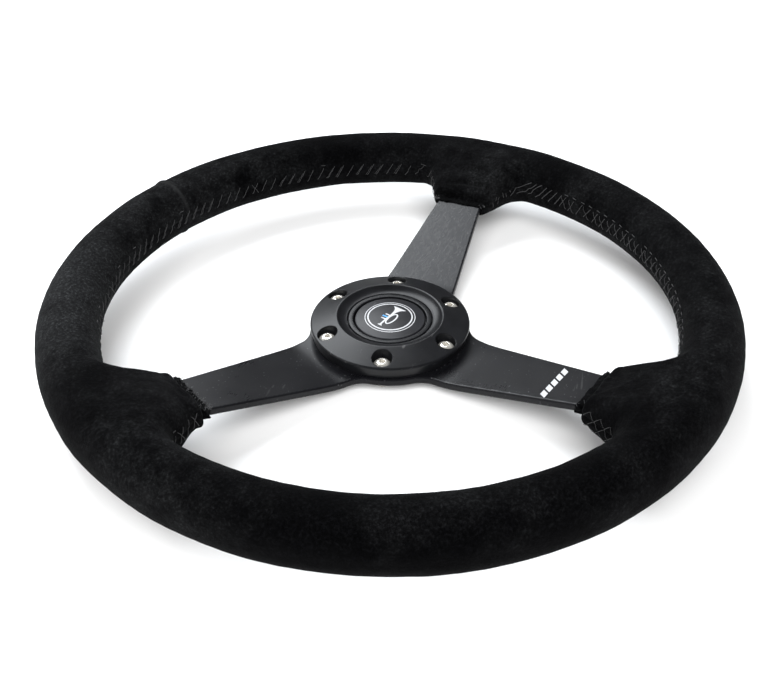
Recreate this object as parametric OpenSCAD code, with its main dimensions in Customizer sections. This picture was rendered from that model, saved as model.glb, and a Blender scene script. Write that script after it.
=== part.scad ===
// Dished three-spoke steering wheel with a suede-wrapped rim and a sprung horn button.
// All sizes are millimetres. The origin is the centre of the hub's rear seating face, on the
// steering axis. +Z points to the driver, +Y to twelve o'clock and +X to the driver's right.

/* [Rim] */
// Outside diameter of the rim, over the suede
rim_od = 350; // [340:1:360]
// Radial width of the grip section
grip_width = 29.6; // [28:0.1:31]
// Front-to-back height of the grip section, never less than its width
grip_height = 32; // [31.2:0.1:34]
// Height of the rim's centre plane above the seating face, which sets the dish
rim_rise = 24.8; // [20:0.1:30]
// Thickness of the suede cover
suede_t = 1.2; // [0.8:0.1:1.6]
// Gap between the edges of the cover where they are laced together
lacing_gap = 1.0; // [0.8:0.1:1.4]
// Diameter of the lacing thread
thread_d = 0.7; // [0.5:0.1:0.8]

/* [Rim core] */
// Radial width of the steel core ring
core_width = 14; // [12:1:16]
// Thickness of the steel core ring
core_t = 4; // [3:0.5:5]

/* [Spoke plate] */
// Thickness of the aluminium spoke plate
plate_t = 4; // [3:0.5:5]
// Radius of the hub disc of the plate
hub_r = 42.2; // [41:0.1:44]
// Radius of the plate's centre hole
hub_hole_r = 27; // [26.9:0.1:28]
// Distance from the axis to the bend where the spokes leave the flat hub
hub_bend_at = 48; // [47:0.5:52]
// Angle at which the spokes rise from the hub to the rim
spoke_rise = 13.5; // [12:0.5:16]
// Half width of a spoke where it leaves the hub
spoke_half_w = 20; // [18:0.1:21]
// Angle by which each edge of a spoke closes in towards the rim
spoke_taper = 5.64; // [4:0.1:6]
// Angle of the side spokes above the horizontal
side_spoke_up = 15; // [10:1:20]
// Radius of the fillets between hub and spokes
hub_fillet = 13; // [12:1:24]

/* [Boots] */
// Distance from the axis to the mouth of the suede boots round the spokes
boot_mouth_at = 119; // [117:0.5:122]
// Width of the hem strip that closes each boot's mouth
hem_width = 4.5; // [3:0.5:6]

/* [Horn ring] */
// Outside diameter of the ring that clamps the horn button
ring_od = 84; // [82:0.5:85]
// Height of the ring's crest above the plate
ring_height = 10.4; // [10:0.1:11]
// Radius of the crest where the bowl begins
ring_crest_r = 27.6; // [27:0.1:29]
// Radius of the ring's opening for the button
ring_bore_r = 22.3; // [22.2:0.1:22.6]

/* [Bolts] */
// Pitch circle diameter of the mounting bolts
bolt_pcd = 70; // [70:0.1:70.4]
// Number of mounting bolts
bolt_count = 6; // [3, 6]
// Length of a mounting bolt under its head
bolt_length = 12; // [12:1:16]

/* [Horn button] */
// Radius of the button cap
cap_r = 18.4; // [18:0.1:18.6]
// Travel of the button until its contacts meet
horn_travel = 2; // [1:0.1:2]

/* [Hidden] */
$fn = 96;

// Colours
anodised = [0.13, 0.13, 0.14];
suede = [0.07, 0.07, 0.075];
bright_steel = [0.75, 0.75, 0.76];
brass = [0.78, 0.6, 0.25];

// Rim section and where it sits
grip_r = grip_width / 2;
grip_straight = (grip_height - grip_width) / 2;
rim_r = rim_od / 2 - grip_r;
inner_r = rim_r - grip_r;

// Spoke directions, counter-clockwise from +X
right_dir = side_spoke_up;
left_dir = 180 - side_spoke_up;
bottom_dir = 270;
spoke_dirs = [right_dir, left_dir, bottom_dir];

// Spoke edges, and the side view of a spoke: flat hub, slope, flat tip under the core ring
fillet_bite = 0.4;
fillet_steps = 16;
bend_r = 12;
bend_steps = 5;
tip_top = rim_rise - core_t / 2;
tip_mid = tip_top - plate_t / 2;
tip_end = rim_r + core_width / 2 - 1;
rim_bend_at = hub_bend_at + (tip_mid - plate_t / 2) / tan(spoke_rise);

// Rivets that join each spoke tip to the core ring
rivet_r = 2.4;
rivet_head_r = 3.5;
rivet_head_h = 1.5;
rivet_side = 4.6;
rivet_fit = 0.05;
foam_fit = 0.1;

// Boots: the lobe's three stations along the spoke, each a rounded block given as
// [distance from the axis, half width, height of its middle, half height, corner radius]
boot_stations = [[117, 15.6, 18.6, 6, 4.5], [130, 24.6, 21, 11.8, 8], [146, 36, 24.8, 13.6, 10]];
mouth_lip = 2;
boot_facets = 8;

// Lacing on the inner side of the rim, a little below its middle
lacing_z = rim_rise - 1;
boot_half_angle = 15;

// Mounting bolts: M5 button heads in counterbores
head_r = 4.75;
head_h = 2.75;
head_flat_r = 2.3;
head_edge = 0.35;
hex_flat = 3;
hex_depth = 1.6;
shank_r = 2.5;
thread_r = 2.24;
thread_chamfer = 0.4;
bolt_hole_r = 2.75;
counterbore_r = 5.1;
head_seat = plate_t + 3.6;
shank_end = -0.3;
bolt_tip = head_seat - bolt_length;

// Horn ring section
ring_r = ring_od / 2;
ring_foot_r = ring_r - 1.4;
ring_edge_z = plate_t + 6.5;
ring_top = plate_t + ring_height;
bowl_z = ring_top - 2.6;
bowl_r = 6.4;
pocket_r = 29.6;
pocket_top = plate_t + 5.9;
edge_round = 0.8;

// Horn button
body_r = 26.6;
flange_r = 29.2;
floor_z = -2;
well_r = 21;
seat_z = 8;
bezel_r = 21.95;
bezel_flange_r = 24.4;
bezel_bore_r = 19.1;
bezel_top = bowl_z + 0.1;
cap_edge_z = 11.5;
cap_crown = 1.45;
cap_flange_r = 20.6;
cap_flange_top = 7.9;
cap_bottom = 6.4;
cap_inner_r = 16.6;
cap_roof = 10.2;
dome_r = (pow(cap_r, 2) + pow(cap_crown, 2)) / (2 * cap_crown);
emblem_r = 13.9;
emblem_t = 0.3;
key_w = 4;
key_length = 2.4;
key_fit = 0.2;
key_mid = cap_flange_r + 0.2;
key_slot_mid = well_r + 0.2;
boss_r = 4;
stake_r = 1.45;
stake_fit = 0.05;

// Horn contacts
contact_t = 0.8;
contact_in = 11.5;
contact_out = 14.5;
contact_gap = 0.03;
contact_top = cap_bottom - horn_travel - contact_gap;
contact_rivet_r = 1.2;
contact_rivet_head = 2.2;
contact_rivet_at = 13;
terminal_w = 6.3;
terminal_in = 10;
terminal_out = 25;

// Return spring
spring_wire = 0.8;
spring_r = 8;
spring_turns = 4;

// ---- Shared geometry ----

// Points along an arc, from angle a0 to a1
function arc(c, r, a0, a1, n) =
    [for (i = [0:n]) c + r * [cos(a0 + (a1 - a0) * i / n), sin(a0 + (a1 - a0) * i / n)]];

function reversed(list) = [for (i = [len(list) - 1:-1:0]) list[i]];

// One face of the bent plate, side = 1 for the top and -1 for the underside
function plate_line(side) =
    let (half = side * plate_t / 2,
         tangent = bend_r * tan(spoke_rise / 2))
    concat([[0, plate_t / 2 + half]],
           arc([hub_bend_at - tangent, plate_t / 2 + bend_r], bend_r - half,
               -90, -90 + spoke_rise, bend_steps),
           arc([rim_bend_at + tangent, tip_mid - bend_r], bend_r + half,
               90 + spoke_rise, 90, bend_steps),
           [[tip_end, tip_mid + half]]);

// One edge of a spoke in plan with its fillet to the hub, for the +Y side. The fillet starts a
// little inside the hub's edge, so that it crosses the edge instead of only touching it.
function spoke_edge() =
    let (n = [sin(spoke_taper), cos(spoke_taper)],
         d = [cos(spoke_taper), -sin(spoke_taper)],
         h = n * [hub_bend_at, spoke_half_w] + hub_fillet,
         t = sqrt(pow(hub_r - fillet_bite + hub_fillet, 2) - h * h),
         c = h * n + t * d,
         a_hub = atan2(-c[1], -c[0]),
         a_edge = atan2(-n[1], -n[0]),
         w_end = spoke_half_w - (tip_end - hub_bend_at) * tan(spoke_taper))
    concat(arc(c, hub_fillet, a_hub, a_edge, fillet_steps), [[tip_end, w_end]]);

// The rim's cross-section, set in by a distance
module grip_section(inset) {
    for (side = [-1, 1])
        translate([rim_r, rim_rise + side * grip_straight]) circle(r = grip_r - inset);
    translate([rim_r - grip_r + inset, rim_rise - grip_straight])
        square([2 * (grip_r - inset), 2 * grip_straight]);
}

// The bent, tapered blank of one spoke along +X
module spoke_blank() {
    edge = spoke_edge();
    mirrored = reversed([for (p = edge) [p[0], -p[1]]]);
    intersection() {
        rotate([90, 0, 0])
            linear_extrude(2 * hub_r, center = true)
                polygon(concat(plate_line(1), reversed(plate_line(-1))));
        translate([0, 0, -1])
            linear_extrude(rim_rise + 10)
                polygon(concat([[0, 0]], edge, mirrored));
    }
}

// The padded lobe that carries the grip over one spoke, set in by a distance
module boot_lobe(inset, mouth) {
    intersection() {
        hull()
            for (st = boot_stations, side = [-1, 1], up = [-1, 1])
                translate([st[0], side * (st[1] - st[4]), st[2] + up * (st[3] - st[4])])
                    sphere(r = st[4] - inset, $fn = boot_facets);
        translate([mouth, -rim_r, -rim_rise]) cube([rim_r - mouth, 2 * rim_r, 4 * rim_rise]);
    }
}

// Each child at the places of the rivets of one spoke
module at_rivets() {
    for (side = [-1, 1])
        translate([rim_r, side * rivet_side, 0]) children();
}

module at_spokes() {
    for (dir = spoke_dirs)
        rotate(dir) children();
}

module at_bolts() {
    for (i = [0:bolt_count - 1])
        rotate(90 + i * 360 / bolt_count) translate([bolt_pcd / 2, 0, 0]) children();
}

// ---- Frame and rim ----

module spoke_plate() {
    color(anodised)
        difference() {
            union() {
                cylinder(r = hub_r, h = plate_t);
                at_spokes() spoke_blank();
            }
            translate([0, 0, -1]) cylinder(r = hub_hole_r, h = plate_t + 2);
            at_bolts() translate([0, 0, -1]) cylinder(r = bolt_hole_r, h = plate_t + 2);
            at_spokes() at_rivets()
                translate([0, 0, tip_top - plate_t - 1]) cylinder(r = rivet_r + rivet_fit, h = plate_t + 2);
        }
}

module rim_core() {
    color("dimgray")
        difference() {
            rotate_extrude()
                translate([rim_r - core_width / 2, tip_top]) square([core_width, core_t]);
            at_spokes() at_rivets()
                translate([0, 0, tip_top - 1]) cylinder(r = rivet_r + rivet_fit, h = core_t + 2);
        }
}

module rim_rivet() {
    low = tip_top - plate_t;
    high = tip_top + core_t;
    rotate_extrude()
        polygon([[0, low - rivet_head_h], [rivet_head_r - edge_round, low - rivet_head_h],
                 [rivet_head_r, low - rivet_head_h / 2], [rivet_head_r, low],
                 [rivet_r, low], [rivet_r, high],
                 [rivet_head_r, high], [rivet_head_r, high + rivet_head_h / 2],
                 [rivet_head_r - edge_round, high + rivet_head_h], [0, high + rivet_head_h]]);
}

module rim_rivets() {
    color("silver") at_spokes() at_rivets() rim_rivet();
}

// Everything inside the suede: the moulded ring and its lobes, before the metal is cut out
module foam_blank() {
    rotate_extrude() grip_section(suede_t);
    at_spokes() boot_lobe(suede_t, boot_mouth_at + mouth_lip);
}

module rim_foam() {
    low = tip_top - plate_t - rivet_head_h;
    color("gray")
        difference() {
            foam_blank();
            rotate_extrude()
                translate([rim_r - core_width / 2, tip_top - foam_fit])
                    square([core_width, core_t + foam_fit]);
            at_spokes() spoke_blank();
            at_spokes() at_rivets()
                translate([0, 0, low]) cylinder(r = rivet_head_r, h = core_t + plate_t + 2 * rivet_head_h);
        }
}

module suede_cover() {
    color(suede)
        difference() {
            union() {
                rotate_extrude() grip_section(0);
                at_spokes() boot_lobe(0, boot_mouth_at);
            }
            foam_blank();
            at_spokes() spoke_blank();
            // the laced joint round the inner side
            rotate_extrude()
                translate([inner_r - 1, lacing_z - lacing_gap / 2]) square([suede_t + 1.4, lacing_gap]);
            // the butted ends at twelve o'clock
            translate([-0.1, inner_r - 1, 0]) cube([0.2, grip_width + 2, 2 * rim_rise]);
        }
}

// A folded suede strip round a spoke, against the mouth of its boot
module hem_strip(dir) {
    half_w = spoke_half_w - (boot_mouth_at - hub_bend_at) * tan(spoke_taper) + 1.3;
    mid = plate_t / 2 + (boot_mouth_at - hem_width / 2 - hub_bend_at) * tan(spoke_rise);
    high = plate_t + 2.6;
    color(suede)
        rotate(dir)
            difference() {
                translate([boot_mouth_at - hem_width, -half_w, mid - high / 2])
                    cube([hem_width, 2 * half_w, high]);
                spoke_blank();
            }
}

module hem_strip_left() {
    hem_strip(left_dir);
}

module hem_strip_right() {
    hem_strip(right_dir);
}

module hem_strip_bottom() {
    hem_strip(bottom_dir);
}

// The lacing between two boots, drawn as the bead of thread that lies in the joint
module lacing(from, to) {
    start = from + boot_half_angle;
    color("dimgray")
        rotate(start)
            rotate_extrude(angle = to - boot_half_angle - start)
                translate([inner_r + thread_d / 2, lacing_z]) circle(d = thread_d, $fn = 16);
}

module lacing_top() {
    lacing(right_dir, left_dir);
}

module lacing_left() {
    lacing(left_dir, bottom_dir);
}

module lacing_right() {
    lacing(bottom_dir, right_dir + 360);
}

// ---- Hub ----

module horn_ring() {
    bowl_centre = [ring_bore_r, bowl_z + bowl_r];
    bowl_end = asin((ring_crest_r - 0.6 - ring_bore_r) / bowl_r);
    color(anodised)
        difference() {
            rotate_extrude()
                polygon(concat(
                    [[pocket_r, plate_t], [ring_foot_r, plate_t]],
                    arc([ring_r - edge_round, ring_edge_z - edge_round], edge_round, -10, 75, 5),
                    arc([ring_crest_r + 0.2, ring_top - edge_round], edge_round, 75, 130, 4),
                    reversed(arc(bowl_centre, bowl_r, -90, -90 + bowl_end, 10)),
                    [[ring_bore_r, pocket_top], [pocket_r, pocket_top]]));
            at_bolts() {
                translate([0, 0, head_seat]) cylinder(r = counterbore_r, h = ring_height);
                translate([0, 0, plate_t - 1]) cylinder(r = bolt_hole_r, h = ring_height);
            }
        }
}

module mounting_bolt() {
    // centre height and radius of the head's dome, from its edge and its flat top
    dome_c = (pow(head_flat_r, 2) + pow(head_h, 2) - pow(head_r, 2) - pow(head_edge, 2))
             / (2 * (head_h - head_edge));
    dome = sqrt(pow(head_r, 2) + pow(head_edge - dome_c, 2));
    a_edge = atan2(head_edge - dome_c, head_r);
    a_flat = atan2(head_h - dome_c, head_flat_r);
    difference() {
        rotate_extrude()
            polygon(concat(
                [[0, bolt_tip], [thread_r - thread_chamfer, bolt_tip],
                 [thread_r, bolt_tip + thread_chamfer], [thread_r, shank_end],
                 [shank_r, shank_end], [shank_r, head_seat], [head_r, head_seat]],
                arc([0, head_seat + dome_c], dome, a_edge, a_flat, 6),
                [[0, head_seat + head_h]]));
        translate([0, 0, head_seat + head_h - hex_depth])
            cylinder(r = hex_flat / 2 / cos(30), h = hex_depth + 1, $fn = 6);
    }
}

module mounting_bolts() {
    color(bright_steel) at_bolts() mounting_bolt();
}

// ---- Horn button, fixed parts ----

module button_bezel() {
    color(anodised)
        rotate_extrude()
            polygon(concat(
                [[bezel_bore_r, seat_z], [bezel_flange_r, seat_z], [bezel_flange_r, pocket_top - 0.05],
                 [bezel_r, pocket_top - 0.05]],
                arc([bezel_r - edge_round, bezel_top - edge_round], edge_round, 0, 90, 5),
                arc([bezel_bore_r + edge_round, bezel_top - edge_round], edge_round, 90, 180, 5)));
}

module button_body() {
    color([0.1, 0.1, 0.1])
        difference() {
            rotate_extrude()
                polygon([[0, floor_z], [body_r, floor_z], [body_r, plate_t], [flange_r, plate_t],
                         [flange_r, pocket_top], [bezel_flange_r + 0.1, pocket_top],
                         [bezel_flange_r + 0.1, seat_z], [well_r, seat_z], [well_r, 0],
                         [contact_out + 0.5, 0], [contact_out + 0.5, contact_top - contact_t],
                         [contact_in - 0.5, contact_top - contact_t], [contact_in - 0.5, 0], [0, 0]]);
            for (side = [-1, 1])
                translate([side * key_slot_mid - key_length / 2, -key_w / 2 - key_fit, 0])
                    cube([key_length, key_w + 2 * key_fit, seat_z + 1]);
            for (side = [-1, 1])
                translate([side * contact_rivet_at, 0, floor_z - 1])
                    cylinder(r = contact_rivet_r + rivet_fit, h = contact_top + 4);
        }
}

// Half of the split contact ring, on the +X side
module contact_half() {
    half_angle = 80;
    difference() {
        rotate(-half_angle)
            rotate_extrude(angle = 2 * half_angle)
                translate([contact_in, contact_top - contact_t])
                    square([contact_out - contact_in, contact_t]);
        translate([contact_rivet_at, 0, 0]) cylinder(r = contact_rivet_r + rivet_fit, h = cap_bottom);
    }
}

module live_contact() {
    color(brass) contact_half();
}

module ground_contact() {
    color(brass) rotate(180) contact_half();
}

module contact_rivets() {
    bottom = floor_z - contact_t;
    color(brass)
        for (side = [-1, 1])
            translate([side * contact_rivet_at, 0, 0]) {
                translate([0, 0, bottom]) cylinder(r = contact_rivet_r, h = contact_top - bottom);
                translate([0, 0, bottom - contact_t]) cylinder(r = contact_rivet_head, h = contact_t);
            }
}

// A spade terminal lying flat under the body, on the +X side
module terminal() {
    difference() {
        translate([terminal_in, -terminal_w / 2, floor_z - contact_t])
            cube([terminal_out - terminal_in, terminal_w, contact_t]);
        translate([contact_rivet_at, 0, floor_z - 2 * contact_t])
            cylinder(r = contact_rivet_r + rivet_fit, h = 3 * contact_t);
    }
}

module live_terminal() {
    color(bright_steel) terminal();
}

module ground_terminal() {
    color(bright_steel) rotate(180) terminal();
}

// ---- Horn button, moving parts ----

// Points on the cap's dome from radius r0 to r1, lowered by a distance
function dome_points(r0, r1, drop, n) =
    [for (i = [0:n]) let (r = r0 + (r1 - r0) * i / n)
        [r, cap_edge_z + cap_crown - drop - dome_r + sqrt(pow(dome_r, 2) - r * r)]];

module button_cap() {
    color([0.16, 0.16, 0.17]) {
        rotate_extrude()
            polygon(concat(
                [[0, cap_roof], [cap_inner_r, cap_roof], [cap_inner_r, cap_bottom],
                 [cap_flange_r, cap_bottom], [cap_flange_r, cap_flange_top], [cap_r, cap_flange_top],
                 [cap_r, cap_edge_z - 0.4]],
                reversed(dome_points(emblem_r, cap_r - 0.4, 0, 4)),
                reversed(dome_points(0, emblem_r, emblem_t, 10))));
        // boss and stake that hold the moving contact
        translate([0, 0, cap_bottom + contact_t]) cylinder(r = boss_r, h = cap_roof - cap_bottom);
        translate([0, 0, cap_bottom - 0.3]) cylinder(r = stake_r, h = contact_t + 1);
        // keys that stop the cap from turning
        for (side = [-1, 1])
            translate([side * key_mid - key_length / 2, -key_w / 2, cap_bottom])
                cube([key_length, key_w, cap_flange_top - cap_bottom]);
    }
}

module cap_emblem() {
    color("white")
        rotate_extrude()
            polygon(concat(dome_points(0, emblem_r - 0.05, emblem_t, 10),
                           reversed(dome_points(0, emblem_r - 0.05, 0, 10))));
}

module moving_contact() {
    color(brass)
        translate([0, 0, cap_bottom])
            difference() {
                cylinder(r = cap_inner_r - 1, h = contact_t);
                translate([0, 0, -1]) cylinder(r = stake_r + stake_fit, h = contact_t + 2);
            }
}

// Helical wire between the floor of the body and the moving contact
module return_spring() {
    per_turn = 16;
    sides = 6;
    steps = spring_turns * per_turn;
    rise = cap_bottom - spring_wire;
    rings = [for (i = [0:steps])
                let (a = 360 * i / per_turn, z = spring_wire / 2 + rise * i / steps)
                for (j = [0:sides - 1])
                    let (b = 360 * j / sides, r = spring_r + spring_wire / 2 * cos(b))
                    [r * cos(a), r * sin(a), z + spring_wire / 2 * sin(b)]];
    walls = [for (i = [0:steps - 1], j = [0:sides - 1])
                let (k = (j + 1) % sides)
                [i * sides + j, (i + 1) * sides + j, (i + 1) * sides + k, i * sides + k]];
    ends = [[for (j = [0:sides - 1]) j], [for (j = [sides - 1:-1:0]) steps * sides + j]];
    color(bright_steel) polyhedron(rings, concat(walls, ends), convexity = 6);
}

spoke_plate();
rim_core();
rim_rivets();
rim_foam();
suede_cover();
hem_strip_left();
hem_strip_right();
hem_strip_bottom();
lacing_top();
lacing_left();
lacing_right();
horn_ring();
mounting_bolts();
button_bezel();
button_body();
live_contact();
ground_contact();
contact_rivets();
live_terminal();
ground_terminal();
button_cap();
cap_emblem();
moving_contact();
return_spring();
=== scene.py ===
"""Looks of the three-spoke suede steering wheel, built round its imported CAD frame.

Sizes are in millimetres in this script, in the CAD's own frame, and become metres when a mesh is made.
+Z points to the driver, +Y to twelve o'clock and +X to the driver's right.
"""

import math

import bpy
import numpy as np
from mathutils import Euler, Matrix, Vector


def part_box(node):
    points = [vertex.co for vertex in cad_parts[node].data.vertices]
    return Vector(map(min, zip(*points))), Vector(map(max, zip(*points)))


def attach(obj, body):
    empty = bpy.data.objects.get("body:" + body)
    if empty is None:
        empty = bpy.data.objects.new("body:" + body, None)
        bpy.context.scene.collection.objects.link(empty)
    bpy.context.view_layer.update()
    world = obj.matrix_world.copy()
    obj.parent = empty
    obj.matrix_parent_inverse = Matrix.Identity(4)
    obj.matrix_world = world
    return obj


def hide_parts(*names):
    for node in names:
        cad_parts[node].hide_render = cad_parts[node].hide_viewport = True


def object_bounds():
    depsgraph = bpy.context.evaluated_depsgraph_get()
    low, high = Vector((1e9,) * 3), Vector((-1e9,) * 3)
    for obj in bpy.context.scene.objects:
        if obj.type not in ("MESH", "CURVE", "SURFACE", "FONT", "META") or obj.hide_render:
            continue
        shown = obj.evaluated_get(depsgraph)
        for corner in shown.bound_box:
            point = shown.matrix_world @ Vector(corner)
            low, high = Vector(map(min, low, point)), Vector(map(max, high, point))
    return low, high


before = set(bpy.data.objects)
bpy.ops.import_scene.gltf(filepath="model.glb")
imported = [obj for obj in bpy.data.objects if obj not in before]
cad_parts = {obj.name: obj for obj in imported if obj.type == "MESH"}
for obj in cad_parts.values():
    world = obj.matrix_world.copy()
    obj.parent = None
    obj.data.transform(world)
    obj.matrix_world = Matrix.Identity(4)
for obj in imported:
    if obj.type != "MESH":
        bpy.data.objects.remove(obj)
CAD_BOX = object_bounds()
MM = 0.001
SHARP_ANGLE = 40


def node_box(name):
    """A CAD node's lowest and highest corners in millimetres."""
    low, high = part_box(name)
    return np.array(low) / MM, np.array(high) / MM


# ---- Sizes, from the frame where it has them ----

COVER_LOW, COVER_HIGH = node_box("suede_cover")
RING_HIGH = node_box("horn_ring")[1]
CORE_HIGH = node_box("rim_core")[1]
BOLT_LOW, BOLT_HIGH = node_box("mounting_bolts")

# Rim: a section 29.6 wide and a little taller, swept round the axis
RIM_OUT = COVER_HIGH[0]
GRIP_R = 14.8
RIM_R = RIM_OUT - GRIP_R
RIM_Z = (COVER_LOW[2] + COVER_HIGH[2]) / 2
STRAIGHT = (COVER_HIGH[2] - COVER_LOW[2]) / 2 - GRIP_R
INNER_R = RIM_R - GRIP_R
SEAM_Z = RIM_Z - 1.0
NOON = math.radians(90)

# Spokes: right, left and bottom, as angles from +X
SPOKES = {"right": math.radians(15), "left": math.radians(165), "bottom": math.radians(270)}
PLATE_T = 4.0
HUB_R = 42.2
HUB_HOLE_R = 27.0
BEND_AT = 48.0
BEND_SOFT = 2.8
RISE = math.tan(math.radians(13.5))
TIP_Z = CORE_HIGH[2] - 4.0 - PLATE_T / 2
TIP_BEND_AT = BEND_AT + (TIP_Z - PLATE_T / 2) / RISE
TIP_END = CORE_HIGH[0] - 1.0
SPOKE_HALF_W = 20.0
TAPER = math.radians(5.64)
HUB_FILLET = 13.0
PLATE_ROUND = 0.9

# Boots: distance along the spoke, half width, height of the middle, half height, corner radius
MOUTH_AT = 119.0
BOOT_STATIONS = np.array([
    [112.0, 13.6, 18.0, 5.2, 4.6],
    [119.0, 16.9, 19.2, 6.7, 5.4],
    [124.0, 19.2, 20.2, 8.8, 7.0],
    [130.0, 22.0, 21.4, 11.0, 9.0],
    [138.0, 26.4, 23.0, 13.0, 11.0],
    [146.0, 33.5, 24.8, 14.2, 12.0],
])
BOOT_END = 154.0
BOOT_BLEND = 5.5
HEM_FROM = 114.5

# Hub: clamp ring, bolts, bezel and cap
RING_R = RING_HIGH[0]
RING_TOP = RING_HIGH[2]
RING_FOOT_R = RING_R - 1.4
RING_EDGE_Z = 10.5
CREST_R = 27.6
BORE_R = 22.3
BOWL_R = 6.4
BOWL_Z = 11.8
POCKET_R = 29.6
POCKET_TOP = 9.9
PCD_R = 35.0
SEAT_Z = 7.6
COUNTERBORE_R = 5.1
BOLT_HOLE_R = 2.75
SHANK_R = 2.4
HEAD_R = 4.75
HEAD_FLAT_R = 2.3
HEAD_TOP = BOLT_HIGH[2]
SOCKET_HALF_W = 1.5
SOCKET_DEEP = 1.6
CAP_R = 18.4
CAP_EDGE_Z = 11.5
CAP_TOP = 12.95
CAP_DOME = (CAP_R ** 2 + (CAP_TOP - CAP_EDGE_Z) ** 2) / (2 * (CAP_TOP - CAP_EDGE_Z))

# Lacing
STITCH_PITCH = 6.3
STITCH_UP = 4.4
STITCH_DOWN = 4.2
THREAD_R = 0.16
DOUBLED = 0.45


# ---- Fields: negative inside, roughly true distances in millimetres ----

def smooth_min(a, b, k):
    h = np.clip(0.5 + 0.5 * (b - a) / k, 0, 1)
    return b + (a - b) * h - k * h * (1 - h)


def smooth_max(a, b, k):
    return -smooth_min(-a, -b, k)


def rounded_both(a, b, radius):
    """The part inside both a and b, with a round edge of that radius where they meet."""
    u, v = a + radius, b + radius
    return np.hypot(np.maximum(u, 0), np.maximum(v, 0)) + np.minimum(np.maximum(u, v), 0) - radius


def bump(x, width):
    return np.exp(-(x / width) ** 2)


def ripple(p, size, seed, waves=7):
    """Smooth seeded noise from -1 to 1 whose patches are about that size."""
    rng = np.random.default_rng(seed)
    ways = rng.normal(size=(waves, 3))
    ways *= (2 * math.pi / size) * rng.uniform(0.7, 1.4, (waves, 1)) / np.linalg.norm(ways, axis=1)[:, None]
    phases = rng.uniform(0, 2 * math.pi, waves)
    total = np.zeros(len(p))
    for way, phase in zip(ways, phases):
        total += np.sin(p @ way + phase)
    return total / math.sqrt(waves * 2)


def along_spoke(p, angle):
    """Distance from the axis along a spoke, and distance across it to its left."""
    c, s = math.cos(angle), math.sin(angle)
    return p[:, 0] * c + p[:, 1] * s, p[:, 1] * c - p[:, 0] * s


def seam_height(r):
    """Height of the laced joint: on the rim's inner side, and down along the boots' sides to the spokes."""
    return SEAM_Z - 0.183 * np.maximum(0, INNER_R - r)


def boot_field(p, angle, folds):
    s, v = along_spoke(p, angle)
    at, *columns = BOOT_STATIONS.T
    half_w, mid, half_h, corner = (np.interp(s, at, column) for column in columns)
    side = np.abs(v) - (half_w - corner)
    up = np.abs(p[:, 2] - mid) - (half_h - corner)
    body = np.hypot(np.maximum(side, 0), np.maximum(up, 0)) + np.minimum(np.maximum(side, up), 0) - corner
    body = 0.85 * body
    body += folds(p, s, v)
    mouth = MOUTH_AT + 0.35 * np.sin(v / 3.1 + 9 * math.sin(angle)) - s
    body = rounded_both(body, mouth, 1.2)
    return rounded_both(body, s - BOOT_END, 6.0)


def pleats(p, s, v):
    """Fine pleats that run back from the mouth, where the suede is pulled in."""
    strength = 0.22 * np.exp(-np.maximum(s - MOUTH_AT, 0) / 6.5)
    return strength * np.sin(v / 0.95 + 1.6 * ripple(p, 9, 31)) * (0.6 + 0.4 * ripple(p, 14, 32))


def right_folds(p, s, v):
    """A crease behind the hem with a soft roll behind it, on the driver's side."""
    on_top = np.clip((p[:, 2] - 20) / 3, 0, 1)
    crease = s - 125.0 + 0.008 * (v + 1) ** 2 + 0.3 * ripple(p, 12, 41)
    dent = 1.0 * bump(crease, 1.5) - 0.8 * bump(crease - 3.6, 2.4) - 0.45 * bump(crease + 3.0, 1.8)
    return on_top * bump(v + 1, 11.5) * dent + 0.4 * bump(crease - 8.0, 3.0) * on_top + 0.6 * pleats(p, s, v)


def left_folds(p, s, v):
    """A shallow hollow behind the rough hem, on the side that faces the bottom spoke."""
    hollow = 1.3 * bump(np.hypot((s - 126) / 1.3, v - 17), 5.5) + 0.7 * bump(np.hypot(s - 124, v - 19), 2.4)
    hem_roll = -0.4 * bump(s - MOUTH_AT - 1.6, 1.3) + 0.3 * bump(s - MOUTH_AT - 4.3, 1.4)
    return hollow + hem_roll * (0.8 + 0.5 * ripple(p, 10, 43)) + pleats(p, s, v)


def bottom_folds(p, s, v):
    """Two low folds that fan out from the hem's corners."""
    slant = (v + 9) * 0.86 - (s - MOUTH_AT) * 0.5 + 0.6 * ripple(p, 11, 44)
    other = (v - 8) * 0.86 + (s - MOUTH_AT) * 0.42 + 0.6 * ripple(p, 13, 45)
    fade = np.exp(-np.maximum(s - MOUTH_AT, 0) / 9)
    roll = -0.25 * bump(s - MOUTH_AT - 1.5, 1.4) + 0.15 * bump(s - MOUTH_AT - 4.2, 1.6)
    return fade * 0.4 * (bump(slant, 1.2) + bump(other, 1.3)) + roll + pleats(p, s, v)


FOLDS = {"right": right_folds, "left": left_folds, "bottom": bottom_folds}


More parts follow.
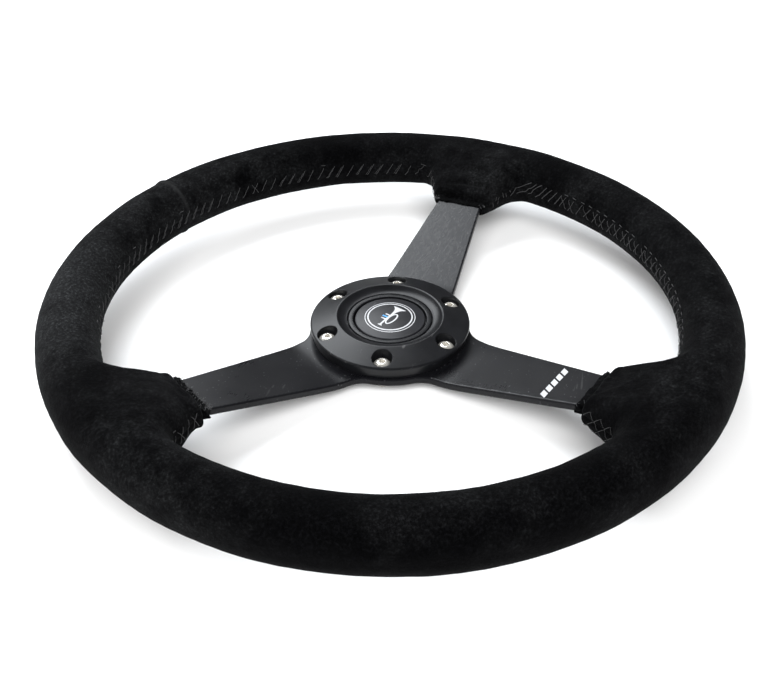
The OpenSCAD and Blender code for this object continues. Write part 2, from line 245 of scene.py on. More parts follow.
def grip_field(p):
    """The whole suede grip: the rim, the three boots, the joint at twelve o'clock and the laced groove."""
    r = np.hypot(p[:, 0], p[:, 1])
    tall = np.maximum(np.abs(p[:, 2] - RIM_Z) - STRAIGHT, 0)
    rim = np.hypot(r - RIM_R, tall) - GRIP_R
    away = np.ones(len(p))  # fades the stitches' pull to nothing at the boots
    for name, angle in SPOKES.items():
        boot = boot_field(p, angle, FOLDS[name])
        rim = smooth_min(rim, boot, BOOT_BLEND)
        s, v = along_spoke(p, angle)
        away *= 1 - bump(np.minimum(np.hypot(s - 136, v), 60), 30)
    # The joint at twelve o'clock: a welt, the step beside it and the thicker end under it
    noon = np.where(p[:, 1] > 0, p[:, 0], 99.0)
    seam = -0.7 * bump(noon + 0.4, 1.3) + 0.3 * bump(noon - 1.7, 0.8)
    seam -= 0.35 * (noon < 0) * np.exp(np.minimum(noon, 0) / 9) * (noon > -60)
    seam *= np.clip((r - RIM_R + 13) / 9, 0.15, 1)
    # The laced groove: two lips with a dent under each stitch
    turn = np.arctan2(p[:, 1], p[:, 0])
    drop = p[:, 2] - seam_height(r)
    inner = np.clip((INNER_R + 6 - r) / 4, 0, 1)
    lips = -0.1 * bump(np.abs(drop) - 1.6, 1.1)
    pull = 0.14 * bump(np.abs(drop) - 4.3, 1.4) * np.cos(turn * INNER_R / STITCH_PITCH * 2 * math.pi) * away
    groove = inner * (0.3 * bump(drop, 0.7) + lips + pull)
    slack = 0.16 * ripple(p, 34, 11) + 0.06 * ripple(p, 9, 12)
    return rim + seam + groove + slack


def plate_middle(s):
    """Height of the spoke plate's middle at a distance from the axis, with soft bends."""
    ramp = np.logaddexp(0, (s - BEND_AT) / BEND_SOFT) - np.logaddexp(0, (s - TIP_BEND_AT) / BEND_SOFT)
    return PLATE_T / 2 + RISE * BEND_SOFT * ramp


def plate_slope(s):
    """Cosine of the plate's tilt at a distance from the axis."""
    ramp = 0.5 * (np.tanh((s - BEND_AT) / BEND_SOFT / 2) - np.tanh((s - TIP_BEND_AT) / BEND_SOFT / 2))
    return 1 / np.sqrt(1 + (RISE * ramp) ** 2)


def nearest_spoke(p):
    """For each point, its place along and across the spoke that it is nearest to."""
    options = [along_spoke(p, angle) for angle in SPOKES.values()]
    s = np.stack([o[0] for o in options])
    v = np.stack([o[1] for o in options])
    best = s.argmax(0)
    rows = np.arange(len(p))
    return s[best, rows], v[best, rows]


def plate_outline(p):
    """The plate's outline in plan: hub disc, tapered spokes and the fillets between them."""
    s, v = nearest_spoke(p)
    v = np.abs(v)
    r = np.hypot(s, v)
    n = np.array([math.sin(TAPER), math.cos(TAPER)])
    along = np.array([math.cos(TAPER), -math.sin(TAPER)])
    edge = n @ [BEND_AT, SPOKE_HALF_W]
    reach = edge + HUB_FILLET
    centre = reach * n + math.sqrt((HUB_R + HUB_FILLET) ** 2 - reach ** 2) * along
    hub = r - HUB_R
    spoke = s * n[0] + v * n[1] - edge
    dx, dy = s - centre[0], v - centre[1]
    to_hub = math.atan2(-centre[1], -centre[0])
    to_edge = math.atan2(-n[1], -n[0])
    turn = np.arctan2(dy, dx)
    in_fillet = (turn > to_hub) & (turn < to_edge) & (spoke > -HUB_FILLET) & (hub > -HUB_FILLET)
    outline = np.minimum(hub, np.maximum(spoke, s - TIP_END))
    fillet = HUB_FILLET - np.hypot(dx, dy)
    return np.where(in_fillet, np.where(fillet < 0, np.minimum(outline, fillet), fillet), outline)


def bolt_distance(p):
    """Distance in plan to the nearest bolt's axis."""
    turn = np.arctan2(p[:, 1], p[:, 0]) - NOON
    step = math.pi / 3
    turn = (turn + step / 2) % step - step / 2
    r = np.hypot(p[:, 0], p[:, 1])
    return np.hypot(r * np.cos(turn) - PCD_R, r * np.sin(turn))


def plate_field(p):
    s, _ = nearest_spoke(p)
    outline = plate_outline(p)
    outline = np.maximum(outline, HUB_HOLE_R - np.hypot(p[:, 0], p[:, 1]))
    outline = np.maximum(outline, BOLT_HOLE_R - bolt_distance(p))
    height = plate_slope(s) * np.abs(p[:, 2] - plate_middle(s)) - PLATE_T / 2
    return rounded_both(outline, height, PLATE_ROUND)


def ring_field(p):
    """The clamp ring: a sloping top with counterbores, a soft crest and a dished bowl."""
    r = np.hypot(p[:, 0], p[:, 1])
    z = p[:, 2]
    side_slope = math.atan2(RING_R - RING_FOOT_R, RING_EDGE_Z - PLATE_T)
    side = (r - RING_FOOT_R) * math.cos(side_slope) - (z - PLATE_T) * math.sin(side_slope)
    top_slope = math.atan2(RING_TOP - RING_EDGE_Z, RING_R - CREST_R)
    top = (z - RING_EDGE_Z) * math.cos(top_slope) - (RING_R - r) * math.sin(top_slope)
    body = rounded_both(side, top, 1.1)
    body = rounded_both(body, PLATE_T - z, 0.3)
    bowl = BOWL_R - np.hypot(r - BORE_R, z - BOWL_Z - BOWL_R)
    body = smooth_max(body, np.where(z > BOWL_Z + BOWL_R, -1.0, bowl), 0.9)
    body = rounded_both(body, BORE_R - r, 0.35)
    body = np.maximum(body, -np.maximum(r - POCKET_R, z - POCKET_TOP))
    to_bolt = bolt_distance(p)
    well = -np.maximum(to_bolt - COUNTERBORE_R, SEAT_Z - z)
    body = rounded_both(body, well, 0.3)
    return np.maximum(body, BOLT_HOLE_R - to_bolt)


def bolt_field(p):
    """One button-head bolt on the Z axis, with a hexagon socket."""
    r = np.hypot(p[:, 0], p[:, 1])
    z = p[:, 2]
    edge_z = SEAT_Z + 0.35
    rise = HEAD_TOP - edge_z
    centre_z = (HEAD_FLAT_R ** 2 + rise ** 2 - HEAD_R ** 2) / (2 * rise)
    dome_r = math.hypot(HEAD_R, centre_z)
    dome = np.hypot(r, z - edge_z - centre_z) - dome_r
    head = rounded_both(np.maximum(dome, r - HEAD_R), SEAT_Z - z, 0.15)
    head = rounded_both(head, z - HEAD_TOP, 0.25)
    turn = np.arctan2(p[:, 1], p[:, 0])
    turn = (turn + math.pi / 6) % (math.pi / 3) - math.pi / 6
    socket = np.maximum(r * np.cos(turn) - SOCKET_HALF_W, HEAD_TOP - SOCKET_DEEP - z)
    head = rounded_both(head, -socket, 0.12)
    shank = np.maximum(r - SHANK_R, np.maximum(z - SEAT_Z - 0.5, BOLT_LOW[2] - z))
    return np.minimum(head, shank)


# ---- Meshes from fields ----

def gradient(field, points, h=0.04):
    out = np.zeros_like(points)
    for axis in range(3):
        shift = np.zeros(3)
        shift[axis] = h
        out[:, axis] = (field(points + shift) - field(points - shift)) / (2 * h)
    return out


def settle(field, points, height=0.0, rounds=3, longest=1.0):
    """Moves points straight to where the field has that value."""
    for _ in range(rounds):
        slope = gradient(field, points)
        size = np.maximum((slope ** 2).sum(1), 0.05)
        move = np.clip((field(points) - height) / size, -longest, longest)
        points = points - move[:, None] * slope
    return points


def relax(points, quads, rounds):
    """Evens out a mesh by moving each point half way to the mean of its neighbours."""
    a = quads.ravel()
    b = np.roll(quads, -1, axis=1).ravel()
    n = len(points)
    count = np.bincount(a, minlength=n) + np.bincount(b, minlength=n)
    for _ in range(rounds):
        total = [np.bincount(a, points[b, i], n) + np.bincount(b, points[a, i], n) for i in range(3)]
        points = 0.5 * points + 0.5 * np.stack(total, -1) / count[:, None]
    return points


def surface_net(field, low, high, step, coarse=4, smooth=3):
    """A closed quad mesh on a field's zero surface, with its normals. The box has to hold it all."""
    sizes = [coarse * math.ceil((high[i] - low[i]) / step / coarse) for i in range(3)]
    axes = [low[i] + step * np.arange(sizes[i]) for i in range(3)]
    middles = [axis[coarse // 2::coarse] for axis in axes]
    rough = field(np.stack(np.meshgrid(*middles, indexing="ij"), -1).reshape(-1, 3))
    rough = rough.reshape([len(m) for m in middles])
    for axis in range(3):
        rough = np.repeat(rough, coarse, axis=axis)
    value = np.where(rough < 0, -1.0, 1.0)
    i, j, k = np.nonzero(np.abs(rough) < 1.7 * coarse * step)
    value[i, j, k] = field(np.stack([axes[0][i], axes[1][j], axes[2][k]], -1))
    inside = value < 0
    nx, ny, nz = inside.shape
    total = np.zeros((nx - 1, ny - 1, nz - 1), np.int8)
    corners = [(a, b, c) for a in (0, 1) for b in (0, 1) for c in (0, 1)]
    for a, b, c in corners:
        total += inside[a:nx - 1 + a, b:ny - 1 + b, c:nz - 1 + c]
    cells = np.argwhere((total > 0) & (total < 8))
    index = np.full(total.shape, -1)
    index[tuple(cells.T)] = np.arange(len(cells))
    place = np.zeros((len(cells), 3))
    hits = np.zeros(len(cells))
    for corner in corners:
        for axis in range(3):
            if corner[axis]:
                continue
            far = list(corner)
            far[axis] = 1
            va = value[tuple((cells + corner).T)]
            vb = value[tuple((cells + far).T)]
            crossed = (va < 0) != (vb < 0)
            spot = np.tile(np.array(corner, float), (len(cells), 1))
            spot[:, axis] = va / np.where(crossed, va - vb, 1)
            place[crossed] += spot[crossed]
            hits[crossed] += 1
    points = np.array(low) + step * (cells + place / hits[:, None])
    quads = []
    for axis in range(3):
        u, v = (axis + 1) % 3, (axis + 2) % 3
        first = np.moveaxis(inside, axis, 0)[:-1]
        second = np.moveaxis(inside, axis, 0)[1:]
        edges = np.argwhere(np.moveaxis(first != second, 0, axis))
        outward = inside[tuple(edges.T)]
        around = []
        for du, dv in ((-1, -1), (0, -1), (0, 0), (-1, 0)):
            cell = edges.copy()
            cell[:, u] += du
            cell[:, v] += dv
            around.append(index[tuple(cell.T)])
        around = np.stack(around, -1)
        around[~outward] = around[~outward, ::-1]
        quads.append(around)
    quads = np.vstack(quads)
    points = relax(settle(field, points, rounds=1, longest=step), quads, smooth)
    points = settle(field, points, longest=step)
    normals = gradient(field, points)
    return points, quads, normals / np.linalg.norm(normals, axis=1)[:, None]


def join(parts):
    """Several (points, faces) as one."""
    points, faces, base = [], [], 0
    for p, f in parts:
        points.append(np.asarray(p, float))
        faces += [tuple(int(i) + base for i in face) for face in f]
        base += len(p)
    return np.vstack(points), faces


def tube(path, radius, sides=7, taper=0.55):
    """A round thread along a path, with narrower closed ends."""
    path = np.asarray(path, float)
    ahead = np.gradient(path, axis=0)
    ahead /= np.linalg.norm(ahead, axis=1)[:, None]
    lift = np.array([0.31, 0.17, 0.93])
    side = np.cross(ahead, lift)
    side /= np.linalg.norm(side, axis=1)[:, None]
    up = np.cross(side, ahead)
    turns = np.arange(sides) * 2 * math.pi / sides
    width = np.full(len(path), radius)
    width[0] = width[-1] = radius * taper
    rings = path[:, None] + width[:, None, None] * (
        np.cos(turns)[None, :, None] * side[:, None] + np.sin(turns)[None, :, None] * up[:, None])
    last = (len(path) - 1) * sides
    faces = []
    for base in range(0, last, sides):
        for j in range(sides):
            k = (j + 1) % sides
            faces.append((base + j, base + k, base + sides + k, base + sides + j))
    faces.append(tuple(range(sides))[::-1])
    faces.append(tuple(last + j for j in range(sides)))
    return rings.reshape(-1, 3), faces


def turned(profile, steps=192):
    """A closed solid of revolution. A profile point with radius 0 becomes a pole."""
    turns = np.arange(steps) * 2 * math.pi / steps
    points, rows = [], []
    for r, z in profile:
        if r < 1e-6:
            rows.append([len(points)] * steps)
            points.append((0, 0, z))
        else:
            rows.append(list(range(len(points), len(points) + steps)))
            points += [(r * math.cos(t), r * math.sin(t), z) for t in turns]
    faces = []
    for low, high in zip(rows, rows[1:] + rows[:1]):
        for j in range(steps):
            k = (j + 1) % steps
            face = list(dict.fromkeys((low[j], low[k], high[k], high[j])))
            if len(face) > 2:
                faces.append(tuple(face))
    return np.array(points), faces


def arc(centre, radius, start, end, steps):
    """Points (r, z) along an arc, with its angles in degrees."""
    turns = np.radians(np.linspace(start, end, steps + 1))
    return [(centre[0] + radius * math.cos(t), centre[1] + radius * math.sin(t)) for t in turns]


def piece(name, points, faces, material, body="wheel", stands_for=(), normals=None, sharp=None):
    """A mesh object that rides on a body, from points in millimetres. It may stand for CAD nodes."""
    mesh = bpy.data.meshes.new(name)
    mesh.from_pydata((np.asarray(points) * MM).tolist(), [], [tuple(map(int, f)) for f in faces])
    mesh.shade_smooth()
    if normals is not None:
        mesh.normals_split_custom_set_from_vertices(normals.tolist())
    if sharp is not None:
        mesh.set_sharp_from_angle(angle=math.radians(sharp))
    mesh.materials.append(material)
    obj = bpy.data.objects.new(name, mesh)
    bpy.context.scene.collection.objects.link(obj)
    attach(obj, body)
    if stands_for:
        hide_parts(*stands_for)
    return obj


def net_piece(name, field, low, high, step, material, stands_for, smooth=3):
    """A piece from a field's surface."""
    points, quads, normals = surface_net(field, low, high, step, smooth=smooth)
    return piece(name, points, quads, material, stands_for=stands_for, normals=normals)


# ---- Materials ----

class Finish:
    """A Principled material, with short ways to add the nodes that vary over its surface."""

    def __init__(self, name, **sockets):
        self.material = bpy.data.materials.new(name)
        self.material.use_nodes = True
        self.tree = self.material.node_tree
        self.shader = next(n for n in self.tree.nodes if n.type == "BSDF_PRINCIPLED")
        for socket, value in sockets.items():
            self.shader.inputs[socket.replace("_", " ")].default_value = value
        self.place = self.tree.nodes.new("ShaderNodeTexCoord").outputs["Object"]
        self.last_normal = None

    def feed(self, socket, value):
        """Links a node's output to an input, or sets it to a plain value."""
        if isinstance(value, bpy.types.NodeSocket):
            self.tree.links.new(value, socket)
        else:
            socket.default_value = value

    def node(self, kind, inputs=None, **settings):
        made = self.tree.nodes.new(kind)
        for key, value in settings.items():
            setattr(made, key, value)
        for key, value in (inputs or {}).items():
            self.feed(made.inputs[key], value)
        return made

    def stretched(self, length, way):
        """Texture space drawn out to that length along a direction, in degrees from +X in plan."""
        turn = (0, 0, math.radians(way - 90))
        inputs = {"Vector": self.place, "Scale": (1, length, 1), "Rotation": turn}
        return self.node("ShaderNodeMapping", inputs, vector_type="TEXTURE").outputs[0]

    def noise(self, size, detail=3.0, rough=0.55, place=None, distortion=0.0):
        """Noise whose patches are about size millimetres."""
        inputs = {"Vector": place or self.place, "Scale": 1 / (size * MM), "Detail": detail,
                  "Roughness": rough, "Distortion": distortion}
        return self.node("ShaderNodeTexNoise", inputs).outputs["Fac"]

    def ramp(self, value, *stops):
        """A colour ramp through (position, colour) stops."""
        made = self.node("ShaderNodeValToRGB", {"Fac": value})
        elements = made.color_ramp.elements
        for element, (position, colour) in zip([elements[0], elements[1]], (stops[0], stops[-1])):
            element.position = position
            element.color = (*colour, 1)
        for position, colour in stops[1:-1]:
            elements.new(position).color = (*colour, 1)
        return made.outputs["Color"]

    def spread(self, value, low=0.35, high=0.65, to_low=0.0, to_high=1.0):
        """Maps a value's range to another one, clamped."""
        inputs = {"Value": value, "From Min": low, "From Max": high, "To Min": to_low, "To Max": to_high}
        return self.node("ShaderNodeMapRange", inputs).outputs["Result"]

    def near(self, spot, reach):
        """One at a spot, fading to nothing at that distance from it in millimetres."""
        inputs = {0: self.place, 1: tuple(c * MM for c in spot)}
        gap = self.node("ShaderNodeVectorMath", inputs, operation="DISTANCE").outputs["Value"]
        return self.spread(gap, 0.25 * reach * MM, reach * MM, 1.0, 0.0)

    def seam_wear_and_highlight_band(self):
        """A narrow band beside the welt of the seam at twelve o'clock, for wear that is partly a painted
        highlight.
        """
        across = self.node("ShaderNodeSeparateXYZ", {"Vector": self.place}).outputs[0]
        off = self.math("ABSOLUTE", self.math("ADD", across, 0.0016))
        return self.spread(off, 0.0004, 0.0018, 0.62, 0.0)

    def mix(self, factor, a, b, blend="MIX"):
        made = self.node("ShaderNodeMix", data_type="RGBA", blend_type=blend)
        for socket, value in (("Factor_Float", factor), ("A_Color", a), ("B_Color", b)):
            target = next(s for s in made.inputs if s.identifier == socket)
            self.feed(target, (*value, 1) if isinstance(value, tuple) else value)
        return next(s for s in made.outputs if s.identifier == "Result_Color")

    def math(self, operation, a, b=0.5):
        made = self.node("ShaderNodeMath", operation=operation)
        self.feed(made.inputs[0], a)
        self.feed(made.inputs[1], b)
        return made.outputs[0]

    def bump(self, height, depth, strength=1.0):
        """Adds relief of that depth in millimetres on top of what is there."""
        inputs = {"Height": height, "Distance": depth * MM, "Strength": strength}
        if self.last_normal is not None:
            inputs["Normal"] = self.last_normal
        self.last_normal = self.node("ShaderNodeBump", inputs).outputs["Normal"]
        self.tree.links.new(self.last_normal, self.shader.inputs["Normal"])

    def set(self, socket, value):
        self.tree.links.new(value, self.shader.inputs[socket])


def suede_finish(name, dark, light, wear):
    """Napped suede: brushed patches, short fibres, worn spots and a soft grey sheen, with a painted light
    patch on the left side and a painted highlight by the seam at twelve o'clock.
    """
    # Centre of a painted light patch: the left side is coloured lighter, as if light fell on it.
    painted_light_left_centre = (-118, 125, 28)
    # Centre of a painted highlight near the top of the seam at twelve o'clock.
    painted_highlight_seam_centre = (5, 158, RIM_Z + 12)
    # Centre of the seam band, which is partly wear and partly a painted highlight on the welt.
    seam_wear_and_highlight_centre = (-2, 158, RIM_Z + 12)
    f = Finish(name, Specular_IOR_Level=0.03, Sheen_Weight=0.012, Sheen_Roughness=0.33,
               Sheen_Tint=(0.82, 0.85, 0.88, 1))
    patches = f.noise(60, 3.0, 0.5, distortion=0.5)
    brushed = f.noise(12, 5.0, 0.7, distortion=0.25)
    tufts = f.noise(3.2, 4.0, 0.7)
    fibres = f.noise(1.3, 4.0, 0.75)
    nap = f.math("MULTIPLY", f.spread(patches, 0.4, 0.62, 0.08), f.spread(brushed, 0.36, 0.66, 0.1))
    # Painted light: the nap's colour is made lighter round the left side.
    painted_light_left_lift = f.math("MULTIPLY", f.near(painted_light_left_centre, 75), f.spread(brushed, 0.3, 0.6, 0.6, 3.0))
    nap = f.math("ADD", nap, painted_light_left_lift)
    # Painted highlight: the nap's colour is made lighter near the seam at twelve o'clock.
    painted_seam_highlight = f.math("MULTIPLY", f.near(painted_highlight_seam_centre, 70), f.spread(brushed, 0.36, 0.62, 0.1, 1.2))
    nap = f.math("ADD", nap, painted_seam_highlight)
    nap = f.math("MULTIPLY", nap, f.spread(tufts, 0.32, 0.66, 0.55, 1.0))
    base = f.mix(nap, dark, light)
    # Painted light: the left side's colour is pushed paler still.
    pale = f.math("MULTIPLY", f.near(painted_light_left_centre, 60), f.spread(brushed, 0.35, 0.6, 0.1, 0.8))
    base = f.mix(pale, base, tuple(2 * c for c in light))
    speckle = f.ramp(fibres, (0.32, (0.12,) * 3), (0.52, (0.85,) * 3), (0.72, (3.4,) * 3))
    base = f.mix(0.8, base, speckle, "MULTIPLY")
    worn = f.spread(f.noise(5.5, 5.0, 0.7), 0.63, 0.74, 0.0, wear)
    # The seam band is partly wear and partly a painted highlight beside the welt.
    worn = f.math("MAXIMUM", worn, f.math("MULTIPLY", f.near(seam_wear_and_highlight_centre, 27), f.seam_wear_and_highlight_band()))
    f.set("Base Color", f.mix(worn, base, (0.02, 0.0205, 0.021)))
    f.set("Roughness", f.spread(fibres, 0.3, 0.7, 0.82, 0.99))
    f.bump(f.noise(7, 4.0, 0.6), 0.5, 0.35)
    f.bump(tufts, 0.45, 0.6)
    f.bump(fibres, 0.4, 0.9)
    f.bump(f.noise(0.45, 3.0, 0.7), 0.2, 0.8)
    return f.material


def thread_finish(name, colour):
    """Twisted polyester thread."""
    f = Finish(name, Specular_IOR_Level=0.25, Sheen_Weight=0.1, Sheen_Roughness=0.5)
    twist = f.node("ShaderNodeTexWave", {"Vector": f.place, "Scale": 1400.0, "Distortion": 1.5},
                   wave_type="BANDS", bands_direction="DIAGONAL").outputs["Fac"]
    worn = f.noise(6, 3.0)
    dark = tuple(c * 0.45 for c in colour)
    f.set("Base Color", f.mix(f.math("MULTIPLY", twist, worn), dark, colour))
    f.set("Roughness", f.spread(worn, 0.3, 0.7, 0.5, 0.75))
    f.bump(twist, 0.08, 0.8)
    return f.material


def plate_finish():
    """Black anodised plate: fine specks, a few scratches, and a brushed grain on the right spoke whose
    lighter colour there is partly a painted reflection.
    """
    f = Finish("plate_black_anodised", Specular_IOR_Level=0.15, IOR=1.5)
    grain = f.noise(0.9, 3.0, 0.6, f.stretched(9, 10))
    # The right spoke gets the brushed grain and a lighter colour, partly grain and partly a painted
    # reflection.
    grain_and_painted_reflection_centre = (80, 22, 14)
    brushed = f.spread(f.near(grain_and_painted_reflection_centre, 75), 0.0, 1.0, 0.12, 1.0)
    cloud = f.noise(30, 3.0, 0.55)
    specks = f.spread(f.noise(0.9, 1.0, 0.4), 0.745, 0.78)
    lines = f.noise(3.4, 2.0, 0.5, f.stretched(50, 24))
    scratches = f.math("MULTIPLY", f.spread(lines, 0.705, 0.72), f.spread(cloud, 0.5, 0.58))
    base = f.mix(f.spread(cloud), (0.0035, 0.0035, 0.0044), (0.006, 0.0061, 0.0072))
    # Painted reflection: the grain lightens the colour mostly on the right spoke.
    grain_and_painted_reflection_share = f.math("MULTIPLY", f.spread(grain, 0.4, 0.7, 0.0, 0.5), brushed)
    base = f.mix(grain_and_painted_reflection_share, base, (0.022, 0.0232, 0.0272))
    base = f.mix(specks, base, (0.1, 0.1, 0.105))
    f.set("Base Color", f.mix(f.math("MULTIPLY", scratches, 0.12), base, (0.16, 0.16, 0.16)))
    streaks = f.math("MULTIPLY", f.spread(grain, 0.35, 0.65, -0.07, 0.07), brushed)
    f.set("Roughness", f.math("ADD", f.spread(cloud, 0.3, 0.7, 0.26, 0.33), streaks))
    f.bump(grain, 0.005, 0.5)
    return f.material


def ring_finish(name, colour, rough, grit=0.3, shine=0.18):
    """Satin black anodised turned part: fine concentric tool marks, and a dusty bloom."""
    f = Finish(name, Specular_IOR_Level=shine, IOR=1.52)
    apart = f.node("ShaderNodeSeparateXYZ", {"Vector": f.place})
    flat = f.node("ShaderNodeCombineXYZ", {"X": apart.outputs[0], "Y": apart.outputs[1], "Z": 0.0})
    radius = f.node("ShaderNodeVectorMath", {0: flat.outputs[0]}, operation="LENGTH").outputs["Value"]
    rings = f.node("ShaderNodeTexNoise", {"W": radius, "Scale": 4200.0, "Detail": 2.0}, noise_dimensions="1D")
    cloud = f.noise(14, 3.0, 0.6)
    dust = f.spread(f.noise(0.8, 2.0, 0.5), 0.71, 0.77, 0.0, 0.6)
    lines = f.noise(2.6, 2.0, 0.5, f.stretched(34, 20))
    scuffs = f.math("MULTIPLY", f.spread(lines, 0.69, 0.71, 0.0, 0.22), f.spread(cloud, 0.5, 0.6))
    lighter = tuple(c * 1.5 for c in colour)
    base = f.mix(f.spread(cloud), colour, lighter)
    base = f.mix(dust, base, (0.07, 0.07, 0.072))
    f.set("Base Color", f.mix(scuffs, base, (0.2, 0.2, 0.2)))
    f.set("Roughness", f.math("ADD", f.spread(rings.outputs["Fac"], 0.3, 0.7, rough - 0.03, rough + 0.05),
                              f.spread(cloud, 0.3, 0.7, -0.02, 0.03)))
    f.bump(rings.outputs["Fac"], 0.01, grit)
    return f.material


def metal_finish(name, colour, rough, grain=0.5, tarnish=0.25, bare=1.0):
    """Metal with a fine grain and a little tarnish. With bare below one it has a pale plating."""
    f = Finish(name, Metallic=bare)
    fine = f.noise(grain, 4.0, 0.6)
    cloud = f.noise(3.5, 3.0, 0.6)
    dull = tuple(c * (1 - tarnish) for c in colour)
    f.set("Base Color", f.mix(f.spread(cloud), dull, colour))
    f.set("Roughness", f.math("ADD", f.spread(fine, 0.3, 0.7, rough - 0.05, rough + 0.08),
                              f.spread(cloud, 0.35, 0.65, -0.03, 0.05)))
    f.bump(fine, 0.02, 0.4)
    return f.material


def plastic_finish(name, colour, rough=0.5, size=0.6, depth=0.04):
    """Moulded plastic or foam with a fine skin texture."""
    f = Finish(name, Specular_IOR_Level=0.5)
    skin = f.noise(size, 3.0, 0.6)
    cloud = f.noise(12, 2.0, 0.5)
    lighter = tuple(min(1.0, c * 1.35) for c in colour)
    f.set("Base Color", f.mix(f.spread(cloud), colour, lighter))
    f.set("Roughness", f.spread(skin, 0.3, 0.7, rough - 0.06, rough + 0.08))
    f.bump(skin, depth, 0.6)
    return f.material


def print_finish(name, colour):
    """Pad-printed ink, a little uneven."""
    f = Finish(name, Specular_IOR_Level=0.4)
    wear = f.noise(0.7, 3.0, 0.6)
    dull = tuple(c * 0.72 for c in colour)
    f.set("Base Color", f.mix(f.spread(wear, 0.3, 0.55, 0.0, 1.0), dull, colour))
    f.set("Roughness", f.spread(wear, 0.3, 0.7, 0.4, 0.55))
    f.bump(wear, 0.02, 0.3)
    return f.material


SUEDE = suede_finish("suede_black_napped", (0.001, 0.001, 0.0012), (0.0088, 0.0092, 0.0096), 0.1)
HEM_SUEDE = suede_finish("suede_hem", (0.001, 0.001, 0.0012), (0.006, 0.0063, 0.0066), 0.2)
THREAD = thread_finish("thread_charcoal_twist", (0.05, 0.0495, 0.052))
DIM_THREAD = thread_finish("thread_black_dusty", (0.02, 0.02, 0.021))
FIBRE = thread_finish("fibre_grey", (0.1, 0.1, 0.105))
PLATE = plate_finish()
RING = ring_finish("ring_satin_black", (0.005, 0.0052, 0.006), 0.32)
BEZEL = ring_finish("bezel_satin_black", (0.004, 0.0042, 0.005), 0.26, 0.5, 0.14)
CAP = ring_finish("cap_charcoal_satin", (0.011, 0.0113, 0.013), 0.34, 0.15, 0.15)
STAINLESS = metal_finish("bolt_zinc_plated", (0.86, 0.83, 0.77), 0.18, bare=0.74)
CORE = metal_finish("core_steel_grey", (0.42, 0.42, 0.43), 0.42, 0.8, 0.4)
ALUMINIUM = metal_finish("rivet_aluminium", (0.78, 0.78, 0.79), 0.35)
BRASS = metal_finish("contact_brass", (0.82, 0.6, 0.26), 0.3, 0.4, 0.3)
TIN = metal_finish("terminal_tin", (0.72, 0.72, 0.7), 0.33, 0.5, 0.2)
SPRING = metal_finish("spring_steel", (0.62, 0.62, 0.63), 0.26)
BODY_PLASTIC = plastic_finish("button_body_plastic", (0.012, 0.012, 0.013))
FOAM = plastic_finish("foam_grey", (0.07, 0.07, 0.072), 0.8, 1.4, 0.2)
WHITE_INK = print_finish("print_white", (0.5, 0.51, 0.53))
BLUE_INK = print_finish("print_blue", (0.05, 0.32, 0.75))

CAD_FINISHES = {
    "rim_core": CORE, "rim_rivets": ALUMINIUM, "rim_foam": FOAM, "button_body": BODY_PLASTIC,
    "live_contact": BRASS, "ground_contact": BRASS, "contact_rivets": BRASS, "moving_contact": BRASS,
    "live_terminal": TIN, "ground_terminal": TIN, "return_spring": SPRING,
}


def finish_cad_nodes():
    for node, material in CAD_FINISHES.items():
        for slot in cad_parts[node].material_slots:
            slot.material = material


# ---- Suede grip ----

def make_grip():
    step = 0.85
    margin = 3.0
    low = np.array([-RIM_OUT, -RIM_OUT, COVER_LOW[2]]) - margin
    high = np.array([RIM_OUT, RIM_OUT, COVER_HIGH[2]]) + margin
    grip = net_piece("suede_grip", grip_field, low, high, step, SUEDE,
                     ("suede_cover", "rim_foam"))
    return grip


def hem_field(angle, rough_edge, seed):
    """A folded suede strip round a spoke at the mouth of its boot, gathered into small wrinkles."""
    def field(p):
        s, v = along_spoke(p, angle)
        z = p[:, 2] - plate_middle(s)
        half_w = SPOKE_HALF_W - (s - BEND_AT) * math.tan(TAPER) + 1.1
        wrinkle = np.sin(v / 0.9 + 0.6 * s + 4.5 * ripple(p, 6, seed))
        thick = 0.95 + 0.1 * wrinkle + 0.25 * ripple(p, 6, seed + 1)
        side = np.abs(v) - half_w - 0.45 * ripple(p, 5, seed + 2)
        up = np.abs(z) - PLATE_T / 2 - thick
        band = rounded_both(side, up, 1.0)
        edge = HEM_FROM + rough_edge * ripple(p, 2.4, seed + 3) + 0.25 * np.sin(v / 1.9)
        knot = np.hypot(np.hypot(np.abs(v) - half_w, z - 1.6), s - HEM_FROM - 1.8) - 1.6 - 0.2 * wrinkle
        band = rounded_both(band, edge - s, 0.7)
        band = rounded_both(band, s - MOUTH_AT - 2.5, 0.7)
        return 0.8 * smooth_min(band, knot, 0.8)
    return field


def make_hem(name, rough_edge, seed):
    angle = SPOKES[name]
    field = hem_field(angle, rough_edge, seed)
    reach = 19.0
    corners = [(s, v) for s in (HEM_FROM - 3, MOUTH_AT + 4) for v in (-reach, reach)]
    c, d = math.cos(angle), math.sin(angle)
    plan = np.array([(s * c - v * d, s * d + v * c) for s, v in corners])
    low = [*plan.min(0), 10.0]
    high = [*plan.max(0), 28.0]
    step = 0.42
    net_piece(f"boot_hem_{name}", field, low, high, step, HEM_SUEDE,
              (f"hem_strip_{name}",))


# ---- Lacing ----

